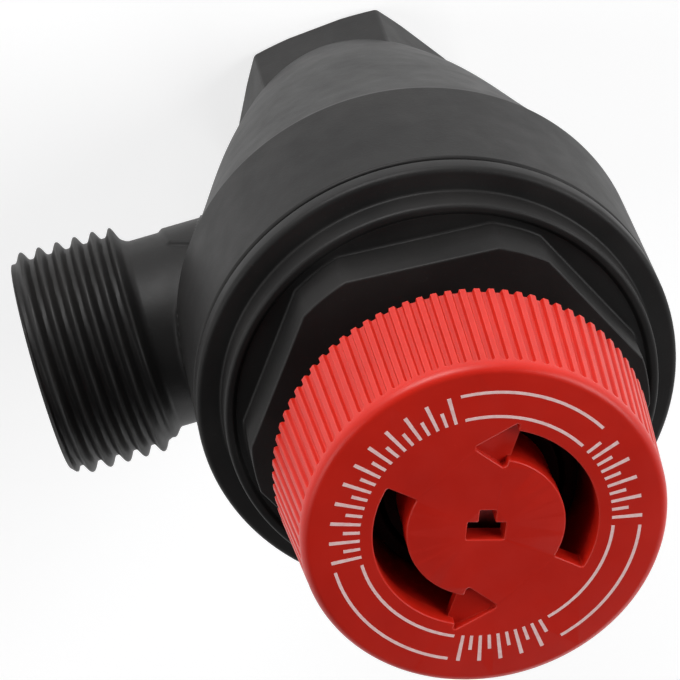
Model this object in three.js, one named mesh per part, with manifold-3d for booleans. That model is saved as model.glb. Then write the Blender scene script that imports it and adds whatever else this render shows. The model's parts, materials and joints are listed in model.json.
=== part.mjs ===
// Diaphragm safety valve with a hand discharge knob.
//
// Millimetres, +Z up along the valve axis. The origin is the centre of the inlet face, the knob is
// on top, and the threaded outlet points along +X.

import * as THREE from 'three';
import { mergeVertices } from 'three/addons/utils/BufferGeometryUtils.js';
import Module from 'manifold-3d';

const wasm = await Module();
wasm.setup();

// ---------------------------------------------------------------- driving dimensions

const GAP = 0.3;                       // clearance between neighbouring pieces
const FULL_TURN = 2 * Math.PI;

// Pipe threads to ISO 228: a G 3/8 male outlet and a G 1/4 female inlet
const OUTLET_THREAD = { majorRadius: 8.331, minorRadius: 7.475, pitch: 1.337 };
const INLET_THREAD = { majorRadius: 6.5785, minorRadius: 5.7225, pitch: 1.337 };

// Heights along the valve axis
const HEX_TOP = 7.15;
const WEB_BOTTOM = 10.6;               // solid web between the inlet and the discharge chamber
const CHAMBER_FLOOR = 14.3;
const SEAT_HEIGHT = 21.85;
const OUTLET_HEIGHT = 23.55;
const BOWL_BOTTOM = 28.95;
const LEDGE_HEIGHT = 36.6;             // the diaphragm rim lies on this ledge
const BODY_TOP = 39.75;
const COLLAR_TOP = 41.4;
const STEP_TOP = 43.4;
const FLATS_TOP = 46.7;
const CAM_BASE = 47.7;
const KNOB_BOTTOM = 50.65;
const TOWER_TOP = 54.2;
const KNOB_TOP = 59.6;

// Radii about the valve axis
const HEX_ACROSS_FLATS = 17.2;
const HEX_TURN = THREE.MathUtils.degToRad(5);
const BOWL_RADIUS = 16.55;
const CHAMBER_RADIUS = 11.6;
const BONNET_THREAD_RADIUS = 14.3;
const STEP_RADIUS = 14.85;
const TOWER_RADIUS = 7;
const TOWER_BORE = 6.1;
const SEAT_BORE = 4;
const STEM_RADIUS = 1.75;

// Outlet branch
const OUTLET_END = 26.7;
const OUTLET_THREAD_START = 18.1;
const NECK_RADIUS = 6.95;
const OUTLET_BORE = 6.05;

// Knob
const KNOB_FACE_RADIUS = 11.3;
const KNOB_FRONT_RADIUS = 11.9;
const KNOB_BACK_RADIUS = 12.6;
const KNOB_EDGE_DEPTH = 0.8;
const KNOB_WALL = 1.45;
const FLUTE_COUNT = 84;
const FLUTE_DEPTH = 0.25;
const HUB_RADIUS = 5.05;
const SLEEVE_INNER = 7.4;
const SLEEVE_OUTER = 9;
const SLOT = { inner: 5.15, outer: 7.3, start: -43, end: 58 };
const ARROW = { barb: 61, barbIn: 4.45, barbOut: 7.95, tip: 85, tipRadius: 6.1, depth: 0.8 };

// Travel: the knob's two lugs climb the bonnet's two ramps
const LIFT = 1.6;
const LIFT_ANGLE = THREE.MathUtils.degToRad(90);
const RAMP_START = THREE.MathUtils.degToRad(-8);

// Inlet insert, seat nozzle and the nozzle's O-ring
const INSERT_RADIUS = 7.5;
const NOZZLE_RADIUS = 5.4;
const NOZZLE_RING = { radius: 5.4, section: 0.5, height: 12.55 };
const RING_GROOVE = [NOZZLE_RING.height - 0.8, NOZZLE_RING.height + 0.8];

// Seat disc, its holder and the stem, stacked from the seat upwards
const SCREW_RADIUS = 1.2;
const SEAT_DISC_RADIUS = 5.8;
const DISC_BOTTOM = SEAT_HEIGHT + GAP;
const DISC_TOP = DISC_BOTTOM + 2.1;
const RETAINER_TOP = SEAT_HEIGHT;
const RETAINER_BOTTOM = RETAINER_TOP - 1;
const HOLDER_BOTTOM = DISC_TOP + GAP;
const HOLDER_TOP = 33.4;
const HOLDER_RING = { radius: 2.85, section: 0.4 };
const STEM_BOTTOM = 28.3;
const STEM_HEAD = [56.05, 57.65];

// Diaphragm, the plate on it and the slip ring over its rim
const DIAPHRAGM_THICKNESS = 1;
const HUB_BOTTOM = HOLDER_TOP + GAP;
const PLATE_BOTTOM = HUB_BOTTOM + DIAPHRAGM_THICKNESS + GAP;
const PLATE_TOP = PLATE_BOTTOM + 1.1;
const PLATE_HUB_TOP = 37.35;
const RIM_BOTTOM = LEDGE_HEIGHT + GAP;
const RIM_TOP = RIM_BOTTOM + DIAPHRAGM_THICKNESS;
const RIM_OUTER = BONNET_THREAD_RADIUS - 0.1;
const RIM_INNER = CHAMBER_RADIUS + GAP;
const SLIP_RING_TOP = RIM_TOP + GAP + 0.55;

// Spring and the parts above it
const SPRING = { radius: 5, wire: 0.68, turns: 5.5, bottom: PLATE_TOP + GAP, top: 49.05 };
const UPPER_PLATE_BOTTOM = SPRING.top + GAP;
const UPPER_PLATE_TOP = UPPER_PLATE_BOTTOM + 0.95;
const NUT_BOTTOM = UPPER_PLATE_TOP + GAP;
const NUT_TOP = NUT_BOTTOM + 2.4;
const NUT_RADIUS = TOWER_BORE - GAP;
const BUSH_RADIUS = 2.85;

// Bonnet spanner flats
const BONNET_BOTTOM = SLIP_RING_TOP + GAP;
const FLAT_CENTRE = THREE.MathUtils.degToRad(-94);
const FLAT_HALF_ANGLE = THREE.MathUtils.degToRad(22.3);
const FLAT_CORNER_RADIUS = 13.5;

// ---------------------------------------------------------------- materials

const blackPlastic = new THREE.MeshStandardMaterial({ color: 0x26262a, roughness: 0.55, metalness: 0 });
const redPlastic = new THREE.MeshStandardMaterial({ color: 0xb8220f, roughness: 0.42, metalness: 0 });
const brass = new THREE.MeshStandardMaterial({ color: 0xb5964a, roughness: 0.35, metalness: 1 });
const steel = new THREE.MeshStandardMaterial({ color: 0x9a9da0, roughness: 0.35, metalness: 1 });
const rubber = new THREE.MeshStandardMaterial({ color: 0x151515, roughness: 0.8, metalness: 0 });
const acetal = new THREE.MeshStandardMaterial({ color: 0xd9d6cc, roughness: 0.5, metalness: 0 });

// ---------------------------------------------------------------- geometry and solids

// A closed three.js geometry as a solid: shared vertices merged, triangles without area left out.
function toSolid(source) {
  const bare = source.clone();
  bare.deleteAttribute('normal');
  bare.deleteAttribute('uv');
  const merged = mergeVertices(bare, 1e-4);
  const index = merged.index.array;
  const triangles = [];
  for (let i = 0; i < index.length; i += 3) {
    const [a, b, c] = [index[i], index[i + 1], index[i + 2]];
    if (a !== b && b !== c && c !== a) triangles.push(a, b, c);
  }
  return new wasm.Manifold(new wasm.Mesh({
    numProp: 3,
    vertProperties: Float32Array.from(merged.attributes.position.array),
    triVerts: Uint32Array.from(triangles),
  }));
}

function toGeometry(solid) {
  const mesh = solid.getMesh();
  const geometry = new THREE.BufferGeometry();
  geometry.setAttribute('position', new THREE.BufferAttribute(mesh.vertProperties, mesh.numProp));
  geometry.setIndex(new THREE.BufferAttribute(mesh.triVerts, 1));
  geometry.computeVertexNormals();
  return geometry;
}

// A shape turned about +Z from [radius, height] points. An outline that leaves the axis is a ring.
function lathe(points, segments = 32) {
  const profile = points.map(([radius, height]) => new THREE.Vector2(radius, height));
  const closed = profile[0].x > 0 ? [...profile, profile[0].clone()] : profile;
  return new THREE.LatheGeometry(closed, segments).rotateX(Math.PI / 2);
}

const turned = (points, segments) => toSolid(lathe(points, segments));

const discOutline = (radius, bottom, top) => [[0, bottom], [radius, bottom], [radius, top], [0, top]];
const disc = (radius, bottom, top, segments) => turned(discOutline(radius, bottom, top), segments);

function washer(inner, outer, bottom, top, segments) {
  return turned([[inner, bottom], [outer, bottom], [outer, top], [inner, top]], segments);
}

function oRing(ringRadius, sectionRadius, height) {
  return toSolid(new THREE.TorusGeometry(ringRadius, sectionRadius, 6, 24).translate(0, 0, height));
}

// A flat outline pushed up from one height to another, then turned about +Z.
function raised(shape, bottom, top, turn = 0, curveSegments = 12) {
  const options = { depth: top - bottom, bevelEnabled: false, curveSegments };
  return toSolid(new THREE.ExtrudeGeometry(shape, options).translate(0, 0, bottom).rotateZ(turn));
}

function polygonShape(points) {
  return new THREE.Shape(points.map(([x, y]) => new THREE.Vector2(x, y)));
}

// Radius and angle about +Z as [x, y].
const polar = (radius, angle) => [radius * Math.cos(angle), radius * Math.sin(angle)];

// A hexagonal bar whose first corner is turned away from +X by the given angle.
function hexagon(acrossFlats, bottom, top, turn = 0) {
  const cornerRadius = acrossFlats / Math.sqrt(3);
  const corners = Array.from({ length: 6 }, (_, k) => polar(cornerRadius, k * Math.PI / 3));
  return raised(polygonShape(corners), bottom, top, turn);
}

// The short arc of a ring between two angles.
function ringSector(inner, outer, start, end) {
  const shape = new THREE.Shape();
  shape.absarc(0, 0, outer, start, end, false);
  shape.absarc(0, 0, inner, end, start, true);
  return shape;
}

// A threaded rod along +Z from the origin. Its radius follows a rounded thread wave, which fades in
// from the plain radius over the first pitch and is chamfered down to the root at the far end.
function threadedRod({ majorRadius, minorRadius, pitch }, length, plainRadius, around) {
  const rowsPerPitch = 4;
  const rows = Math.round(length / pitch * rowsPerPitch);
  const rod = new THREE.CylinderGeometry(1, 1, length, around, rows).rotateX(Math.PI / 2);
  rod.translate(0, 0, length / 2);
  const position = rod.attributes.position;
  const middle = (majorRadius + minorRadius) / 2;
  const amplitude = (majorRadius - minorRadius) / 2;
  for (let i = 0; i < position.count; i += 1) {
    const [x, y, z] = [position.getX(i), position.getY(i), position.getZ(i)];
    const onAxis = Math.hypot(x, y) < 0.5;
    if (onAxis) continue;
    const angle = Math.atan2(y, x);
    const wave = middle + amplitude * Math.cos(FULL_TURN * z / pitch - angle);
    const fade = THREE.MathUtils.clamp(z / pitch, 0, 1);
    const chamfer = minorRadius + (length - z);
    const radius = Math.min(plainRadius + (wave - plainRadius) * fade, Math.max(chamfer, minorRadius));
    position.setXY(i, ...polar(radius, angle));
  }
  return rod;
}

// A shape made along +Z, laid along the outlet with its origin at the given distance from the axis.
const alongOutlet = (geometry, x) => toSolid(geometry.rotateY(Math.PI / 2).translate(x, 0, OUTLET_HEIGHT));

// ---------------------------------------------------------------- valve body

// Outside of the funnel, from inside the hexagon up to the edge of the bowl.
const funnelCurve = new THREE.SplineCurve([
  new THREE.Vector2(8.2, 2.4),
  new THREE.Vector2(9.85, 6.35),
  new THREE.Vector2(12.25, 13.5),
  new THREE.Vector2(14.65, 22.65),
  new THREE.Vector2(16.3, 28.6),
]);

function bodyOutside() {
  const funnel = funnelCurve.getPoints(8).map((point) => [point.x, point.y]);
  const shell = turned([
    [0, funnel[0][1]],
    ...funnel,
    [BOWL_RADIUS, BOWL_BOTTOM + 0.15],
    [BOWL_RADIUS, BODY_TOP],
    [0, BODY_TOP],
  ], 56);
  const faceRadius = HEX_ACROSS_FLATS / 2 + 0.25;
  const hexRound = turned([
    [0, 0],
    [faceRadius, 0],
    [faceRadius + 1.6, 0.95],
    [faceRadius + 1.6, HEX_TOP],
    [0, HEX_TOP],
  ]);
  const hex = hexagon(HEX_ACROSS_FLATS, 0, HEX_TOP, HEX_TURN).intersect(hexRound);
  const neck = alongOutlet(lathe(discOutline(NECK_RADIUS, 0, OUTLET_THREAD_START + 1)), 0);
  const threadLength = OUTLET_END - OUTLET_THREAD_START;
  const thread = alongOutlet(threadedRod(OUTLET_THREAD, threadLength, NECK_RADIUS, 28), OUTLET_THREAD_START);
  return shell.add(hex).add(neck).add(thread);
}

function bodyInside() {
  const chamber = turned([
    [0, CHAMBER_FLOOR],
    [8.9, CHAMBER_FLOOR],
    [CHAMBER_RADIUS, OUTLET_HEIGHT],
    [CHAMBER_RADIUS, LEDGE_HEIGHT],
    [BONNET_THREAD_RADIUS + GAP, LEDGE_HEIGHT],
    [BONNET_THREAD_RADIUS + GAP, BODY_TOP + 1],
    [0, BODY_TOP + 1],
  ]);
  const insertPocket = disc(INSERT_RADIUS + GAP, -1, WEB_BOTTOM);
  const nozzleBore = disc(NOZZLE_RADIUS + GAP, WEB_BOTTOM - 1, CHAMBER_FLOOR + 1);
  const ringGroove = disc(NOZZLE_RING.radius + NOZZLE_RING.section + GAP, RING_GROOVE[0], RING_GROOVE[1]);
  const outletBore = alongOutlet(lathe(discOutline(OUTLET_BORE, 0, OUTLET_END + 1)), 0);
  return chamber.add(insertPocket).add(nozzleBore).add(ringGroove).add(outletBore);
}

const makeBody = () => bodyOutside().subtract(bodyInside());

// ---------------------------------------------------------------- inlet and seat

function makeInletInsert() {
  const top = WEB_BOTTOM - GAP;
  const threadDepth = 8.3;
  const blank = disc(INSERT_RADIUS, 0, top);
  const tap = threadedRod(INLET_THREAD, threadDepth + 1, INLET_THREAD.minorRadius, 22);
  const thread = toSolid(tap.rotateX(Math.PI).translate(0, 0, threadDepth));
  const { majorRadius, minorRadius } = INLET_THREAD;
  const mouth = turned([[0, -1], [majorRadius + 1, -1], [minorRadius, 1], [0, 1]]);
  const passage = disc(SEAT_BORE + 0.5, threadDepth - 1, top + 1);
  return blank.subtract(thread).subtract(mouth).subtract(passage);
}

function makeSeatNozzle() {
  const bottom = WEB_BOTTOM;
  const tube = turned([
    [SEAT_BORE, bottom],
    [NOZZLE_RADIUS, bottom],
    [NOZZLE_RADIUS, SEAT_HEIGHT - 1.25],
    [SEAT_BORE + 0.7, SEAT_HEIGHT],
    [SEAT_BORE + 0.25, SEAT_HEIGHT],
    [SEAT_BORE, SEAT_HEIGHT - 0.3],
  ]);
  const groove = washer(NOZZLE_RING.radius - NOZZLE_RING.section - GAP, NOZZLE_RADIUS + 1, ...RING_GROOVE);
  return tube.subtract(groove);
}

const makeNozzleORing = () => oRing(NOZZLE_RING.radius, NOZZLE_RING.section, NOZZLE_RING.height);

// ---------------------------------------------------------------- disc, holder and stem

const makeSeatDisc = () => washer(SCREW_RADIUS + GAP, SEAT_DISC_RADIUS, DISC_BOTTOM, DISC_TOP);
const makeDiscRetainer = () => washer(SCREW_RADIUS + GAP, 3.35, RETAINER_BOTTOM, RETAINER_TOP);

function makeDiscScrew() {
  const headTop = RETAINER_BOTTOM - GAP;
  const headBottom = headTop - 1.2;
  const screw = turned([[0, headBottom], [2.1, headBottom], [2.4, headBottom + 0.3], [2.4, headTop],
    [SCREW_RADIUS, headTop], [SCREW_RADIUS, HOLDER_BOTTOM + 2], [0, HOLDER_BOTTOM + 2]], 24);
  const slot = toSolid(new THREE.BoxGeometry(5.6, 0.65, 0.95).translate(0, 0, headBottom));
  return screw.subtract(slot);
}

function makeDiscHolder() {
  const cupRadius = 7;
  const holder = turned([
    [0, DISC_BOTTOM + 0.4],
    [cupRadius, DISC_BOTTOM + 0.4],
    [cupRadius, HOLDER_BOTTOM + 1.75],
    [3.8, HOLDER_BOTTOM + 2.85],
    [3.8, HOLDER_TOP - 1.9],
    [6.7, HOLDER_TOP - 0.95],
    [6.7, HOLDER_TOP],
    [0, HOLDER_TOP],
  ]);
  const discPocket = disc(SEAT_DISC_RADIUS + GAP, DISC_BOTTOM, HOLDER_BOTTOM);
  const screwHole = disc(SCREW_RADIUS + GAP, HOLDER_BOTTOM - 1, HOLDER_BOTTOM + 2.4);
  const stemHole = disc(STEM_RADIUS + GAP, STEM_BOTTOM - GAP, HOLDER_TOP + 1);
  const ringPocket = disc(HOLDER_RING.radius + HOLDER_RING.section + GAP, HOLDER_TOP - 1.2, HOLDER_TOP + 1);
  return holder.subtract(discPocket).subtract(screwHole).subtract(stemHole).subtract(ringPocket);
}

const makeHolderORing = () => oRing(HOLDER_RING.radius, HOLDER_RING.section, HOLDER_TOP - 0.5);

function makeStem() {
  const [headBottom, headTop] = STEM_HEAD;
  return turned([
    [0, STEM_BOTTOM],
    [STEM_RADIUS - 0.3, STEM_BOTTOM],
    [STEM_RADIUS, STEM_BOTTOM + 0.4],
    [STEM_RADIUS, headBottom],
    [2.6, headBottom],
    [2.6, headBottom + 0.8],
    [1.75, headTop],
    [0, headTop],
  ], 24);
}

function makePlateNut() {
  const bottom = PLATE_HUB_TOP + GAP;
  return hexagon(5.5, bottom, bottom + 2).subtract(disc(STEM_RADIUS + GAP, bottom - 1, bottom + 3));
}

// ---------------------------------------------------------------- diaphragm and springs

// The diaphragm is flat in the middle and at its rim, with a smooth roll between the two.
function makeDiaphragm() {
  const rollStart = 7.2;
  const rollEnd = CHAMBER_RADIUS - 0.3;
  const rollPoints = 4;
  const lower = Array.from({ length: rollPoints + 1 }, (_, i) => {
    const t = i / rollPoints;
    const rise = t * t * (3 - 2 * t);
    return [rollStart + (rollEnd - rollStart) * t, HUB_BOTTOM + (RIM_BOTTOM - HUB_BOTTOM) * rise];
  });
  const outline = [[STEM_RADIUS + GAP, HUB_BOTTOM], ...lower, [RIM_OUTER, RIM_BOTTOM]];
  const upper = outline.map(([radius, height]) => [radius, height + DIAPHRAGM_THICKNESS]).reverse();
  return turned([...outline, ...upper], 40);
}

const makeSlipRing = () => washer(RIM_INNER, RIM_OUTER, RIM_TOP + GAP, SLIP_RING_TOP, 40);

function makeDiaphragmPlate() {
  return turned([
    [STEM_RADIUS + GAP, PLATE_BOTTOM],
    [7, PLATE_BOTTOM],
    [7, PLATE_TOP - 0.3],
    [6.7, PLATE_TOP],
    [4, PLATE_TOP],
    [3.6, PLATE_HUB_TOP],
    [STEM_RADIUS + GAP, PLATE_HUB_TOP],
  ]);
}

// Centre line of the spring: the first and last turns lie closed, the others share the rest.
class SpringCurve extends THREE.Curve {
  getPoint(t, target = new THREE.Vector3()) {
    const turn = t * SPRING.turns;
    const closedPitch = 2 * SPRING.wire + 0.15;
    const low = SPRING.bottom + SPRING.wire;
    const high = SPRING.top - SPRING.wire;
    const openPitch = (high - low - 2 * closedPitch) / (SPRING.turns - 2);
    const open = THREE.MathUtils.clamp(turn - 1, 0, SPRING.turns - 2);
    const height = low + (turn - open) * closedPitch + open * openPitch;
    return target.set(...polar(SPRING.radius, FULL_TURN * turn), height);
  }
}

function makeSpring() {
  const section = new THREE.Shape().absarc(0, 0, SPRING.wire, 0, FULL_TURN);
  const options = { steps: 77, curveSegments: 3, bevelEnabled: false, extrudePath: new SpringCurve() };
  return toSolid(new THREE.ExtrudeGeometry(section, options));
}

function makeUpperSpringPlate() {
  return turned([
    [STEM_RADIUS + GAP, UPPER_PLATE_BOTTOM - 0.95],
    [3.8, UPPER_PLATE_BOTTOM - 0.95],
    [3.95, UPPER_PLATE_BOTTOM],
    [5.7, UPPER_PLATE_BOTTOM],
    [5.7, UPPER_PLATE_TOP],
    [STEM_RADIUS + GAP, UPPER_PLATE_TOP],
  ]);
}

function makeAdjustingNut() {
  const ring = washer(BUSH_RADIUS + GAP, NUT_RADIUS, NUT_BOTTOM, NUT_TOP);
  const slot = toSolid(new THREE.BoxGeometry(16, 1.45, 1.9).translate(0, 0, NUT_TOP));
  return ring.subtract(slot);
}

const makeLockRing = () => washer(3.95, NUT_RADIUS, NUT_TOP + GAP, NUT_TOP + GAP + 0.8);

function makeGuideBush() {
  return turned([
    [STEM_RADIUS + GAP, NUT_BOTTOM],
    [BUSH_RADIUS, NUT_BOTTOM],
    [BUSH_RADIUS, NUT_TOP + GAP],
    [3.65, NUT_TOP + GAP],
    [3.65, NUT_TOP + 0.85],
    [STEM_RADIUS + GAP, NUT_TOP + 0.85],
  ]);
}

// ---------------------------------------------------------------- bonnet

// The spanner hexagon has clipped corners, so long flats alternate with short ones.
function clippedHexagon() {
  const corners = [];
  for (let k = 0; k < 6; k += 1) {
    for (const side of [-1, 1]) {
      const angle = FLAT_CENTRE + k * Math.PI / 3 + side * FLAT_HALF_ANGLE;
      corners.push(polar(FLAT_CORNER_RADIUS, angle));
    }
  }
  return raised(polygonShape(corners), STEP_TOP - 1, FLATS_TOP);
}

// Height of the cam track above its base: two equal ramps, each with a level top, that drop back.
function rampHeight(angle) {
  const [lead, levelTop] = [12, 14].map(THREE.MathUtils.degToRad);
  const turn = THREE.MathUtils.euclideanModulo(angle, Math.PI);
  const rise = THREE.MathUtils.clamp((turn - lead) / LIFT_ANGLE, 0, 1) * LIFT;
  return turn > lead + LIFT_ANGLE + levelTop ? 0 : rise;
}

function camTrack() {
  const [inner, outer, bottom] = [TOWER_RADIUS - 0.4, SLEEVE_OUTER + GAP, FLATS_TOP - 0.8];
  const track = lathe([[inner, bottom], [outer, bottom], [outer, CAM_BASE], [inner, CAM_BASE]], 60);
  const position = track.attributes.position;
  for (let i = 0; i < position.count; i += 1) {
    if (position.getZ(i) < CAM_BASE - 0.1) continue;
    const angle = Math.atan2(position.getY(i), position.getX(i));
    position.setZ(i, CAM_BASE + rampHeight(angle - RAMP_START));
  }
  return toSolid(track);
}

function makeBonnet() {
  const base = turned([
    [0, BONNET_BOTTOM],
    [BONNET_THREAD_RADIUS, BONNET_BOTTOM],
    [BONNET_THREAD_RADIUS, BODY_TOP + GAP],
    [BOWL_RADIUS, BODY_TOP + GAP],
    [BOWL_RADIUS, COLLAR_TOP - 0.4],
    [BOWL_RADIUS - 0.35, COLLAR_TOP],
    [STEP_RADIUS, COLLAR_TOP],
    [STEP_RADIUS, STEP_TOP - 0.4],
    [STEP_RADIUS - 0.4, STEP_TOP],
    [13.35, STEP_TOP - 0.5],
    [0, STEP_TOP - 0.5],
  ], 56);
  const tower = disc(TOWER_RADIUS, FLATS_TOP - 0.8, TOWER_TOP, 40);
  const cavity = turned([
    [0, BONNET_BOTTOM - 1],
    [RIM_INNER, BONNET_BOTTOM - 1],
    [RIM_INNER, BODY_TOP + 0.4],
    [9.55, STEP_TOP - 0.5],
    [TOWER_BORE, FLATS_TOP - 0.55],
    [TOWER_BORE, TOWER_TOP + 1],
    [0, TOWER_TOP + 1],
  ]);
  return base.add(clippedHexagon()).add(tower).add(camTrack()).subtract(cavity);
}

// ---------------------------------------------------------------- knob

const FACE_UNDERSIDE = KNOB_TOP - KNOB_WALL;
const FLUTE_TOP = KNOB_TOP - 1.3;

const radiusAt = (height) => THREE.MathUtils.mapLinear(height, KNOB_BOTTOM, KNOB_TOP - KNOB_EDGE_DEPTH,
  KNOB_BACK_RADIUS, KNOB_FRONT_RADIUS);

// The grip's fluted ring, drawn at unit scale and then drawn in towards the front.
function flutedGrip() {
  const corners = [];
  const pitch = FULL_TURN / FLUTE_COUNT;
  const floor = KNOB_BACK_RADIUS - FLUTE_DEPTH;
  const oneFlute = [[0, KNOB_BACK_RADIUS], [0.4, KNOB_BACK_RADIUS], [0.5, floor], [0.9, floor]];
  for (let k = 0; k < FLUTE_COUNT; k += 1) {
    for (const [part, radius] of oneFlute) {
      corners.push(polar(radius, (k + part) * pitch));
    }
  }
  const shape = polygonShape(corners);
  const options = { depth: FLUTE_TOP - KNOB_BOTTOM, bevelEnabled: false };
  const grip = new THREE.ExtrudeGeometry(shape, options).translate(0, 0, KNOB_BOTTOM);
  const position = grip.attributes.position;
  for (let i = 0; i < position.count; i += 1) {
    const scale = radiusAt(position.getZ(i)) / KNOB_BACK_RADIUS;
    position.setXY(i, position.getX(i) * scale, position.getY(i) * scale);
  }
  return toSolid(grip);
}

// An arc slot with square ends and the shallow arrow head that leads into it.
function arrowSlot(turn) {
  const degrees = THREE.MathUtils.degToRad;
  const slot = ringSector(SLOT.inner, SLOT.outer, degrees(SLOT.start), degrees(SLOT.end));
  const head = polygonShape([
    polar(ARROW.barbIn, degrees(ARROW.barb)),
    polar(ARROW.barbOut, degrees(ARROW.barb)),
    polar(ARROW.tipRadius, degrees(ARROW.tip)),
  ]);
  const neck = ringSector(SLOT.inner, SLOT.outer, degrees(SLOT.end - 3), degrees(ARROW.barb + 1));
  const pocketFloor = KNOB_TOP - ARROW.depth;
  return raised(slot, FACE_UNDERSIDE - 0.5, KNOB_TOP + 1, turn)
    .add(raised(head, pocketFloor, KNOB_TOP + 1, turn))
    .add(raised(neck, pocketFloor, KNOB_TOP + 1, turn, 2));
}

// T-shaped core hole over the stem head.
function coreHole() {
  const bar = { halfWidth: 1.25, bottom: -0.45, top: 0.85 };
  const leg = { halfWidth: 0.55, bottom: -1.35 };
  const outline = polygonShape([
    [-bar.halfWidth, bar.top],
    [-bar.halfWidth, bar.bottom],
    [-leg.halfWidth, bar.bottom],
    [-leg.halfWidth, leg.bottom],
    [leg.halfWidth, leg.bottom],
    [leg.halfWidth, bar.bottom],
    [bar.halfWidth, bar.bottom],
    [bar.halfWidth, bar.top],
  ]);
  return raised(outline, FACE_UNDERSIDE - 1, KNOB_TOP + 1, THREE.MathUtils.degToRad(-19));
}

function makeKnob() {
  const skirtInner = 11;
  const edge = KNOB_FRONT_RADIUS - KNOB_FACE_RADIUS;
  const edgeSteps = 3;
  const roundEdge = Array.from({ length: edgeSteps + 1 }, (_, i) => {
    const angle = i / edgeSteps * Math.PI / 2;
    const height = KNOB_TOP - KNOB_EDGE_DEPTH * (1 - Math.cos(angle));
    return [KNOB_FACE_RADIUS + edge * Math.sin(angle), height];
  });
  const cap = turned([
    [0, KNOB_TOP],
    ...roundEdge,
    [radiusAt(FLUTE_TOP - 0.2), FLUTE_TOP - 0.2],
    [0, FLUTE_TOP - 0.2],
  ].reverse(), 60);
  const hollow = turned([
    [0, KNOB_BOTTOM - 1],
    [skirtInner + 0.25, KNOB_BOTTOM - 1],
    [skirtInner, FACE_UNDERSIDE],
    [0, FACE_UNDERSIDE],
  ]);
  const sleeve = washer(SLEEVE_INNER, SLEEVE_OUTER, CAM_BASE + LIFT + 2 * GAP, FACE_UNDERSIDE + 0.5, 40);
  const [lugStart, lugEnd] = [-5, 5].map(THREE.MathUtils.degToRad);
  const lug = ringSector(SLEEVE_INNER, SLEEVE_OUTER, lugStart, lugEnd);
  const hub = disc(HUB_RADIUS, TOWER_TOP + 0.4, FACE_UNDERSIDE + 0.5);
  const headPocket = disc(2.95, STEM_HEAD[0] - GAP, FACE_UNDERSIDE);
  const stemHole = disc(STEM_RADIUS + GAP, TOWER_TOP - 1, FACE_UNDERSIDE);
  let knob = flutedGrip().add(cap).subtract(hollow).add(sleeve).add(hub);
  for (const turn of [0, Math.PI]) {
    knob = knob.add(raised(lug, CAM_BASE + 2 * GAP, FACE_UNDERSIDE, turn, 3)).subtract(arrowSlot(turn));
  }
  return knob.subtract(headPocket).subtract(stemHole).subtract(coreHole());
}

// ---------------------------------------------------------------- assembly

const pieces = [
  ['valve_body', makeBody, blackPlastic],
  ['inlet_insert', makeInletInsert, brass],
  ['seat_nozzle', makeSeatNozzle, brass],
  ['nozzle_o_ring', makeNozzleORing, rubber],
  ['seat_disc', makeSeatDisc, rubber],
  ['disc_retainer', makeDiscRetainer, brass],
  ['disc_screw', makeDiscScrew, steel],
  ['disc_holder', makeDiscHolder, brass],
  ['holder_o_ring', makeHolderORing, rubber],
  ['diaphragm', makeDiaphragm, rubber],
  ['slip_ring', makeSlipRing, acetal],
  ['diaphragm_plate', makeDiaphragmPlate, steel],
  ['plate_nut', makePlateNut, brass],
  ['stem', makeStem, steel],
  ['spring', makeSpring, steel],
  ['upper_spring_plate', makeUpperSpringPlate, steel],
  ['adjusting_nut', makeAdjustingNut, blackPlastic],
  ['lock_ring', makeLockRing, blackPlastic],
  ['guide_bush', makeGuideBush, acetal],
  ['bonnet', makeBonnet, blackPlastic],
  ['knob', makeKnob, redPlastic],
];

const valve = new THREE.Group();
for (const [name, make, material] of pieces) {
  const mesh = new THREE.Mesh(toGeometry(make()), material);
  mesh.name = name;
  valve.add(mesh);
}

export default valve;
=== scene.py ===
"""Looks of a diaphragm safety valve with a hand discharge knob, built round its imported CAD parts.

Lengths are millimetres while a piece is drawn and metres once it is a Blender object.
+Z runs from the inlet to the knob, and the threaded outlet points along +X.
"""

import json
import math

import bmesh
import bpy
from mathutils import Matrix, Vector
from mathutils.geometry import delaunay_2d_cdt


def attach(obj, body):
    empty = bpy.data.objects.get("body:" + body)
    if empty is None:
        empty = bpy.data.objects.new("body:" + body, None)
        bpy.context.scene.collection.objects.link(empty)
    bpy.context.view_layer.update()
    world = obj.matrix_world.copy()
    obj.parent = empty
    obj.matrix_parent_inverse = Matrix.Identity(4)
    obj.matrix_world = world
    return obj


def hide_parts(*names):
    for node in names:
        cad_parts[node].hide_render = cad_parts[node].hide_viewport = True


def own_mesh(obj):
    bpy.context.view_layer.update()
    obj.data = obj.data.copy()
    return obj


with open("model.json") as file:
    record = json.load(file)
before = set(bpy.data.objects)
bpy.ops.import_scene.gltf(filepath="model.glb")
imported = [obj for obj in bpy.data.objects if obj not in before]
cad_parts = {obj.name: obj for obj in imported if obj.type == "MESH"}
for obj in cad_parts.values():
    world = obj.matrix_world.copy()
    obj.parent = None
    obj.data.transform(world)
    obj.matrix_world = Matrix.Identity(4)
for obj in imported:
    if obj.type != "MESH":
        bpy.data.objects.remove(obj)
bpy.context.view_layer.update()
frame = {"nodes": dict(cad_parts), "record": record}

# ------------------------------------------------------------------ driving dimensions

MM = 0.001
TURN = 2 * math.pi
# Clearance round what turns, slides or is screwed in
GAP = 0.3

# Pipe threads, G 3/8 outside and G 1/4 inside, in radii. The moulded outside thread has full roots.
OUTLET_THREAD = {"major": 8.331, "minor": 7.65, "pitch": 1.337}
INLET_THREAD = {"major": 6.5785, "minor": 5.7225, "pitch": 1.337}

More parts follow.
